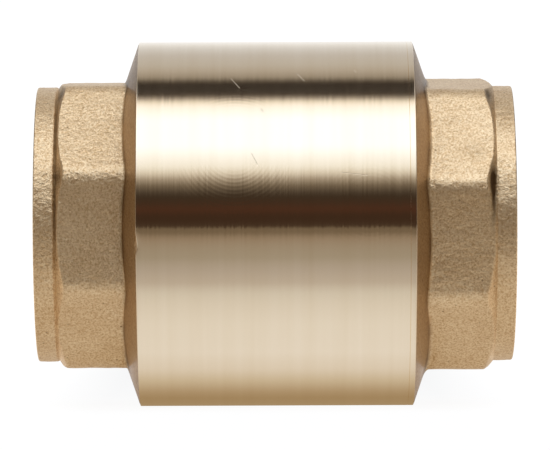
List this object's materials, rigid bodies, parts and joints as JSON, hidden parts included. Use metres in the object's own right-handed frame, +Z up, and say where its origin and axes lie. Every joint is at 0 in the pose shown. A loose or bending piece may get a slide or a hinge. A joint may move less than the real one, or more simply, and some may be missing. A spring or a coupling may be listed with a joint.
{
  "type": "check valve",
  "caption": "In-line spring check valve with a turned brass barrel, eight-sided cast ends and a female pipe socket at each end.",
  "frame": {"origin": "on the bore's axis, halfway between the two end faces", "axes": "+X along the bore in the direction of flow, from inlet to outlet; +Z up, with the valve lying as it is pictured"},
  "size_m": [0.0922, 0.071, 0.071],
  "materials": {
    "brass": "yellow brass, finely turned and polished on the barrel, blasted casting on the ends",
    "machined_brass": "turned, satin",
    "nitrile": "matte moulded rubber",
    "ptfe": "waxy, matte",
    "stainless": "ground, satin",
    "spring_steel": "drawn wire, smooth"
  },
  "bodies": {
    "housing": {"valve_body": "brass", "end_cap": "brass", "cap_o_ring": "nitrile", "inlet_guide": "machined_brass", "inlet_bush": "ptfe", "inlet_snap_ring": "spring_steel", "outlet_guide": "machined_brass", "outlet_bush": "ptfe", "spring": "spring_steel"},
    "spring_follower": {"spring_washer": "stainless"},
    "poppet": {"poppet_disc": "machined_brass", "disc_seal": "nitrile", "seal_retainer": "machined_brass", "stem": "stainless", "stem_washer": "stainless", "stem_nut": "stainless"}
  },
  "joints": [
    {"name": "poppet_slide", "type": "slide", "parent": "housing", "child": "spring_follower", "axis": [1, 0, 0], "range_m": [0, 0.0075], "stiffness_N_per_m": 320, "springref_m": -0.0094, "deforming": ["spring"]},
    {"name": "poppet_spin", "type": "hinge", "parent": "spring_follower", "child": "poppet", "pos_m": [-0.00825, 0, 0], "axis": [1, 0, 0], "continuous": true}
  ]
}
